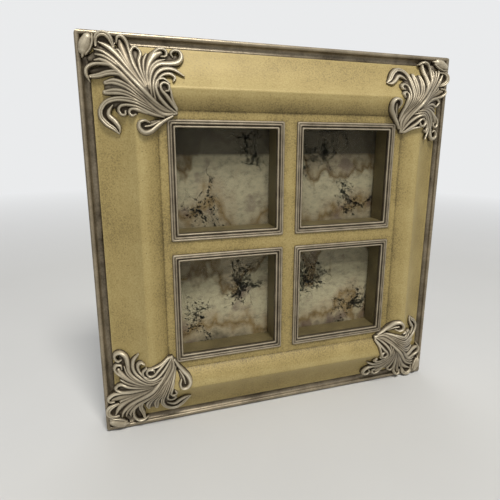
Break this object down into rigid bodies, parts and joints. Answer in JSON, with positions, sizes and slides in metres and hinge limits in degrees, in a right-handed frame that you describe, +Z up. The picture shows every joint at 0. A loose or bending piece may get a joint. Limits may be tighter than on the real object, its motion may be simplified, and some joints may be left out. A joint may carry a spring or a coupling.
{
  "type": "collage photo frame",
  "caption": "Square gold and pewter collage photo frame with deep windows behind reeded beads, acanthus corner castings, a buttoned back and a folding easel strut.",
  "frame": {"origin": "centre of the flat face that the frame stands on", "axes": "+Z up, +X to the right as seen from the front, the windows face -Y"},
  "size_m": [0.26, 0.0436, 0.26],
  "materials": {
    "pewter_rim": "aged pewter paint on a cast edge frame, dark wash in the cove",
    "pewter_ornament": "aged pewter paint on a casting, dark wash in the hollows",
    "pewter_bead": "aged pewter paint on a reeded bead",
    "gold_moulding": "antique gold paint, fine speckle",
    "gold_panel": "antique gold paint, fine speckle",
    "olive_sleeve": "dark olive gold paint",
    "pane_glass": "clear",
    "print_paper": null,
    "backing_card": "plain grey card",
    "back_board": "black paper covered board",
    "brassed_steel": "brass-plated sheet",
    "steel": "bright zinc",
    "bumper_rubber": "matt"
  },
  "bodies": {
    "frame": {"rim_frame": "pewter_rim", "corner_v_nails": "steel", "window_panel": "gold_panel", "back_board": "back_board", "turn_button_screws": "steel", "sawtooth_hanger": "brassed_steel", "hanger_screws": "steel", "wall_bumpers": "bumper_rubber", "easel_bracket": "brassed_steel", "easel_bracket_rivets": "steel", "easel_pin": "steel", "moulding_bottom": "gold_moulding", "moulding_left": "gold_moulding", "moulding_top": "gold_moulding", "moulding_right": "gold_moulding", "bead_top_left": "pewter_bead", "cell_top_left": "olive_sleeve", "glass_top_left": "pane_glass", "print_top_left": "print_paper", "card_top_left": "backing_card", "ornament_top_left": "pewter_ornament", "bead_top_right": "pewter_bead", "cell_top_right": "olive_sleeve", "glass_top_right": "pane_glass", "print_top_right": "print_paper", "card_top_right": "backing_card", "ornament_top_right": "pewter_ornament", "bead_bottom_left": "pewter_bead", "cell_bottom_left": "olive_sleeve", "glass_bottom_left": "pane_glass", "print_bottom_left": "print_paper", "card_bottom_left": "backing_card", "ornament_bottom_left": "pewter_ornament", "bead_bottom_right": "pewter_bead", "cell_bottom_right": "olive_sleeve", "glass_bottom_right": "pane_glass", "print_bottom_right": "print_paper", "card_bottom_right": "backing_card", "ornament_bottom_right": "pewter_ornament"},
    "strut": {"easel_leg": "back_board", "easel_leg_strap": "brassed_steel", "easel_leg_rivets": "steel"},
    "button_upper_left": {"turn_button_upper_left": "brassed_steel"},
    "button_lower_left": {"turn_button_lower_left": "brassed_steel"},
    "button_upper_right": {"turn_button_upper_right": "brassed_steel"},
    "button_lower_right": {"turn_button_lower_right": "brassed_steel"}
  },
  "joints": [
    {"name": "strut_hinge", "type": "hinge", "parent": "frame", "child": "strut", "pos_m": [0, 0.00865, 0.19], "axis": [1, 0, 0], "range_deg": [0, 28]},
    {"name": "button_turn_upper_left", "type": "hinge", "parent": "frame", "child": "button_upper_left", "pos_m": [-0.1185, 0.00555, 0.192], "axis": [0, 1, 0], "range_deg": [-90, 90]},
    {"name": "button_turn_lower_left", "type": "hinge", "parent": "frame", "child": "button_lower_left", "pos_m": [-0.1185, 0.00555, 0.068], "axis": [0, 1, 0], "range_deg": [-90, 90]},
    {"name": "button_turn_upper_right", "type": "hinge", "parent": "frame", "child": "button_upper_right", "pos_m": [0.1185, 0.00555, 0.192], "axis": [0, 1, 0], "range_deg": [-90, 90]},
    {"name": "button_turn_lower_right", "type": "hinge", "parent": "frame", "child": "button_lower_right", "pos_m": [0.1185, 0.00555, 0.068], "axis": [0, 1, 0], "range_deg": [-90, 90]}
  ]
}
